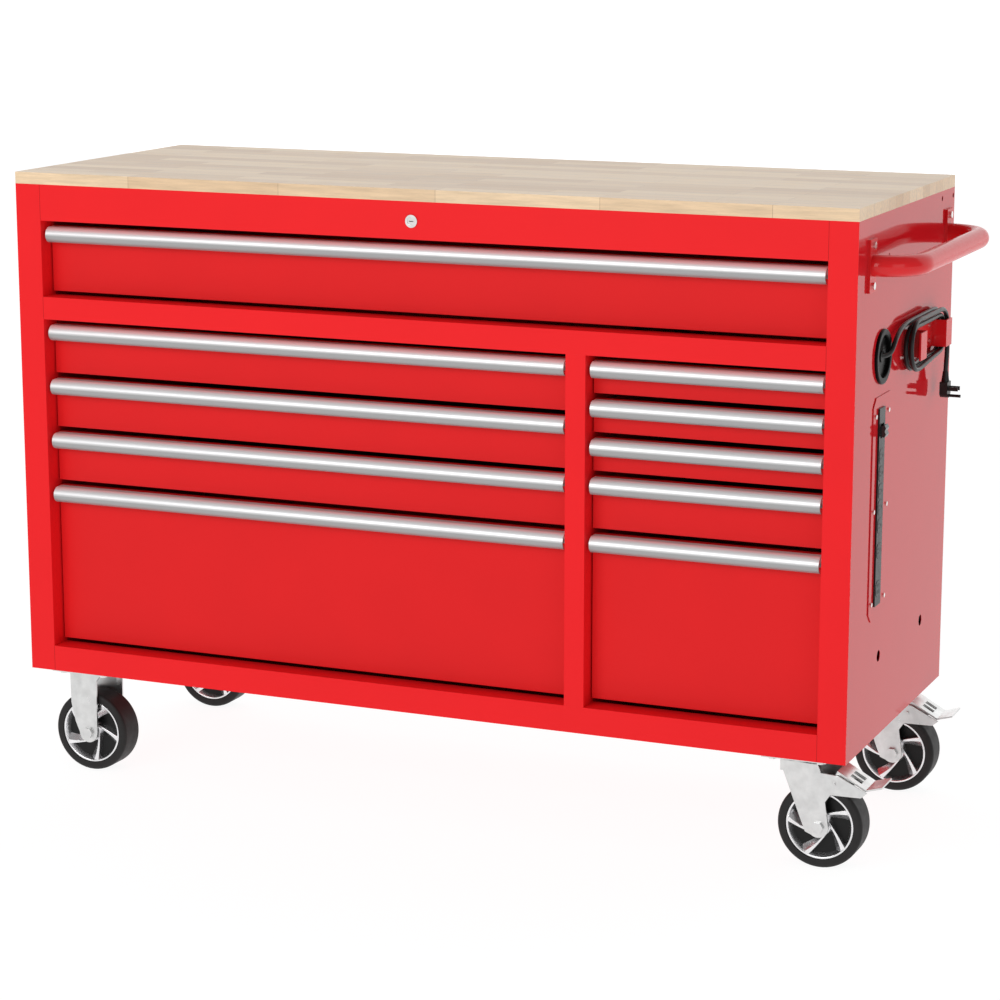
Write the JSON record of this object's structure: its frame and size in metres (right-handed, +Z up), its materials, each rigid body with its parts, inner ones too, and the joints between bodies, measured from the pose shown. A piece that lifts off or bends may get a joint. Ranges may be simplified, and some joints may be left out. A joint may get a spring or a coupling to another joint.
{
  "type": "rolling tool chest",
  "caption": "Wide rolling tool chest with a full-width top drawer over two banks of drawers, wood worktop, push handle, power strip and casters.",
  "frame": {"origin": "on the floor under the middle of the chest's box, handle included, cord and plug left out", "axes": "+Z up, -Y out of the drawer fronts, +X towards the push handle"},
  "size_m": [1.502, 0.552, 1.017],
  "materials": {
    "butcher_block": "oiled",
    "red_enamel": "gloss",
    "red_drawer_enamel": "gloss",
    "satin_aluminium": "satin",
    "zinc_slide_steel": "satin",
    "nickel_plate": "polished",
    "black_strip_plastic": "matte",
    "black_grommet_plastic": "satin",
    "black_cord_jacket": "satin",
    "zinc_plated_steel": "satin",
    "caster_tyre": "matte",
    "polished_rim": "polished"
  },
  "bodies": {
    "cabinet": {"worktop": "butcher_block", "cabinet_shell": "red_enamel", "front_frame": "red_enamel", "centre_partition": "red_enamel", "slide_rails_fixed": "zinc_slide_steel", "push_handle": "red_enamel", "cabinet_screws": "nickel_plate", "lock_housing": "nickel_plate", "power_strip": "black_strip_plastic", "cord_grommet": "black_grommet_plastic", "cord_hanger": "red_enamel", "power_cord": "black_cord_jacket", "cord_coil": "black_cord_jacket", "cord_plug": "black_cord_jacket", "caster_mounts": "zinc_plated_steel"},
    "lock_cylinder": {"lock_cylinder": "nickel_plate"},
    "lock_bar": {"lock_bar": "zinc_slide_steel"},
    "power_switch": {"power_switch": "black_strip_plastic"},
    "swivel_caster_front": {"swivel_fork_front": "zinc_plated_steel"},
    "brake_pedal_front": {"brake_pedal_front": "zinc_plated_steel"},
    "swivel_caster_rear": {"swivel_fork_rear": "zinc_plated_steel"},
    "brake_pedal_rear": {"brake_pedal_rear": "zinc_plated_steel"},
    "wheel_front_left": {"tyre_front_left": "caster_tyre", "rim_front_left": "polished_rim"},
    "wheel_rear_left": {"tyre_rear_left": "caster_tyre", "rim_rear_left": "polished_rim"},
    "wheel_front_right": {"tyre_front_right": "caster_tyre", "rim_front_right": "polished_rim"},
    "wheel_rear_right": {"tyre_rear_right": "caster_tyre", "rim_rear_right": "polished_rim"},
    "drawer_top": {"drawer_top": "red_drawer_enamel", "pull_top": "satin_aluminium"},
    "slide_top": {"slide_middle_top": "zinc_slide_steel"},
    "drawer_left_1": {"drawer_left_1": "red_drawer_enamel", "pull_left_1": "satin_aluminium"},
    "slide_left_1": {"slide_middle_left_1": "zinc_slide_steel"},
    "drawer_left_2": {"drawer_left_2": "red_drawer_enamel", "pull_left_2": "satin_aluminium"},
    "slide_left_2": {"slide_middle_left_2": "zinc_slide_steel"},
    "drawer_left_3": {"drawer_left_3": "red_drawer_enamel", "pull_left_3": "satin_aluminium"},
    "slide_left_3": {"slide_middle_left_3": "zinc_slide_steel"},
    "drawer_left_4": {"drawer_left_4": "red_drawer_enamel", "pull_left_4": "satin_aluminium"},
    "slide_left_4": {"slide_middle_left_4": "zinc_slide_steel"},
    "drawer_right_1": {"drawer_right_1": "red_drawer_enamel", "pull_right_1": "satin_aluminium"},
    "slide_right_1": {"slide_middle_right_1": "zinc_slide_steel"},
    "drawer_right_2": {"drawer_right_2": "red_drawer_enamel", "pull_right_2": "satin_aluminium"},
    "slide_right_2": {"slide_middle_right_2": "zinc_slide_steel"},
    "drawer_right_3": {"drawer_right_3": "red_drawer_enamel", "pull_right_3": "satin_aluminium"},
    "slide_right_3": {"slide_middle_right_3": "zinc_slide_steel"},
    "drawer_right_4": {"drawer_right_4": "red_drawer_enamel", "pull_right_4": "satin_aluminium"},
    "slide_right_4": {"slide_middle_right_4": "zinc_slide_steel"},
    "drawer_right_5": {"drawer_right_5": "red_drawer_enamel", "pull_right_5": "satin_aluminium"},
    "slide_right_5": {"slide_middle_right_5": "zinc_slide_steel"}
  },
  "joints": [
    {"name": "lock_turn", "type": "hinge", "parent": "cabinet", "child": "lock_cylinder", "pos_m": [-0.04, -0.274, 0.9675], "axis": [0, -1, 0], "range_deg": [0, 90]},
    {"name": "lock_bar_lift", "type": "slide", "parent": "cabinet", "child": "lock_bar", "axis": [0, 0, 1], "range_m": [0, 0.0113]},
    {"name": "power_switch_rock", "type": "hinge", "parent": "cabinet", "child": "power_switch", "pos_m": [0.669, -0.1355, 0.669], "axis": [0, 1, 0], "range_deg": [-8, 8]},
    {"name": "swivel_front", "type": "hinge", "parent": "cabinet", "child": "swivel_caster_front", "pos_m": [0.587, -0.209, 0.121], "axis": [0, 0, 1], "continuous": true},
    {"name": "brake_pedal_front_press", "type": "hinge", "parent": "swivel_caster_front", "child": "brake_pedal_front", "pos_m": [0.644, -0.209, 0.139], "axis": [0, 1, 0], "range_deg": [0, 12]},
    {"name": "swivel_rear", "type": "hinge", "parent": "cabinet", "child": "swivel_caster_rear", "pos_m": [0.587, 0.211, 0.121], "axis": [0, 0, 1], "continuous": true},
    {"name": "brake_pedal_rear_press", "type": "hinge", "parent": "swivel_caster_rear", "child": "brake_pedal_rear", "pos_m": [0.644, 0.211, 0.139], "axis": [0, 1, 0], "range_deg": [0, 12]},
    {"name": "wheel_front_left_spin", "type": "hinge", "parent": "cabinet", "child": "wheel_front_left", "pos_m": [-0.665, -0.209, 0.0675], "axis": [0, 1, 0], "continuous": true},
    {"name": "wheel_rear_left_spin", "type": "hinge", "parent": "cabinet", "child": "wheel_rear_left", "pos_m": [-0.665, 0.211, 0.0675], "axis": [0, 1, 0], "continuous": true},
    {"name": "wheel_front_right_spin", "type": "hinge", "parent": "swivel_caster_front", "child": "wheel_front_right", "pos_m": [0.6205, -0.209, 0.0675], "axis": [0, 1, 0], "continuous": true},
    {"name": "wheel_rear_right_spin", "type": "hinge", "parent": "swivel_caster_rear", "child": "wheel_rear_right", "pos_m": [0.6205, 0.211, 0.0675], "axis": [0, 1, 0], "continuous": true},
    {"name": "drawer_top_slide", "type": "slide", "parent": "cabinet", "child": "drawer_top", "axis": [0, -1, 0], "range_m": [0, 0.44]},
    {"name": "slide_middle_top_travel", "type": "slide", "parent": "cabinet", "child": "slide_top", "axis": [0, -1, 0], "range_m": [0, 0.22]},
    {"name": "drawer_left_1_slide", "type": "slide", "parent": "cabinet", "child": "drawer_left_1", "axis": [0, -1, 0], "range_m": [0, 0.44]},
    {"name": "slide_middle_left_1_travel", "type": "slide", "parent": "cabinet", "child": "slide_left_1", "axis": [0, -1, 0], "range_m": [0, 0.22]},
    {"name": "drawer_left_2_slide", "type": "slide", "parent": "cabinet", "child": "drawer_left_2", "axis": [0, -1, 0], "range_m": [0, 0.44]},
    {"name": "slide_middle_left_2_travel", "type": "slide", "parent": "cabinet", "child": "slide_left_2", "axis": [0, -1, 0], "range_m": [0, 0.22]},
    {"name": "drawer_left_3_slide", "type": "slide", "parent": "cabinet", "child": "drawer_left_3", "axis": [0, -1, 0], "range_m": [0, 0.44]},
    {"name": "slide_middle_left_3_travel", "type": "slide", "parent": "cabinet", "child": "slide_left_3", "axis": [0, -1, 0], "range_m": [0, 0.22]},
    {"name": "drawer_left_4_slide", "type": "slide", "parent": "cabinet", "child": "drawer_left_4", "axis": [0, -1, 0], "range_m": [0, 0.44]},
    {"name": "slide_middle_left_4_travel", "type": "slide", "parent": "cabinet", "child": "slide_left_4", "axis": [0, -1, 0], "range_m": [0, 0.22]},
    {"name": "drawer_right_1_slide", "type": "slide", "parent": "cabinet", "child": "drawer_right_1", "axis": [0, -1, 0], "range_m": [0, 0.44]},
    {"name": "slide_middle_right_1_travel", "type": "slide", "parent": "cabinet", "child": "slide_right_1", "axis": [0, -1, 0], "range_m": [0, 0.22]},
    {"name": "drawer_right_2_slide", "type": "slide", "parent": "cabinet", "child": "drawer_right_2", "axis": [0, -1, 0], "range_m": [0, 0.44]},
    {"name": "slide_middle_right_2_travel", "type": "slide", "parent": "cabinet", "child": "slide_right_2", "axis": [0, -1, 0], "range_m": [0, 0.22]},
    {"name": "drawer_right_3_slide", "type": "slide", "parent": "cabinet", "child": "drawer_right_3", "axis": [0, -1, 0], "range_m": [0, 0.44]},
    {"name": "slide_middle_right_3_travel", "type": "slide", "parent": "cabinet", "child": "slide_right_3", "axis": [0, -1, 0], "range_m": [0, 0.22]},
    {"name": "drawer_right_4_slide", "type": "slide", "parent": "cabinet", "child": "drawer_right_4", "axis": [0, -1, 0], "range_m": [0, 0.44]},
    {"name": "slide_middle_right_4_travel", "type": "slide", "parent": "cabinet", "child": "slide_right_4", "axis": [0, -1, 0], "range_m": [0, 0.22]},
    {"name": "drawer_right_5_slide", "type": "slide", "parent": "cabinet", "child": "drawer_right_5", "axis": [0, -1, 0], "range_m": [0, 0.44]},
    {"name": "slide_middle_right_5_travel", "type": "slide", "parent": "cabinet", "child": "slide_right_5", "axis": [0, -1, 0], "range_m": [0, 0.22]}
  ],
  "couplings": [
    {"joint": "lock_turn", "follows": "lock_bar_lift", "rad_per_m": 138.84},
    {"joint": "slide_middle_top_travel", "follows": "drawer_top_slide", "ratio": 0.5},
    {"joint": "slide_middle_left_1_travel", "follows": "drawer_left_1_slide", "ratio": 0.5},
    {"joint": "slide_middle_left_2_travel", "follows": "drawer_left_2_slide", "ratio": 0.5},
    {"joint": "slide_middle_left_3_travel", "follows": "drawer_left_3_slide", "ratio": 0.5},
    {"joint": "slide_middle_left_4_travel", "follows": "drawer_left_4_slide", "ratio": 0.5},
    {"joint": "slide_middle_right_1_travel", "follows": "drawer_right_1_slide", "ratio": 0.5},
    {"joint": "slide_middle_right_2_travel", "follows": "drawer_right_2_slide", "ratio": 0.5},
    {"joint": "slide_middle_right_3_travel", "follows": "drawer_right_3_slide", "ratio": 0.5},
    {"joint": "slide_middle_right_4_travel", "follows": "drawer_right_4_slide", "ratio": 0.5},
    {"joint": "slide_middle_right_5_travel", "follows": "drawer_right_5_slide", "ratio": 0.5}
  ]
}
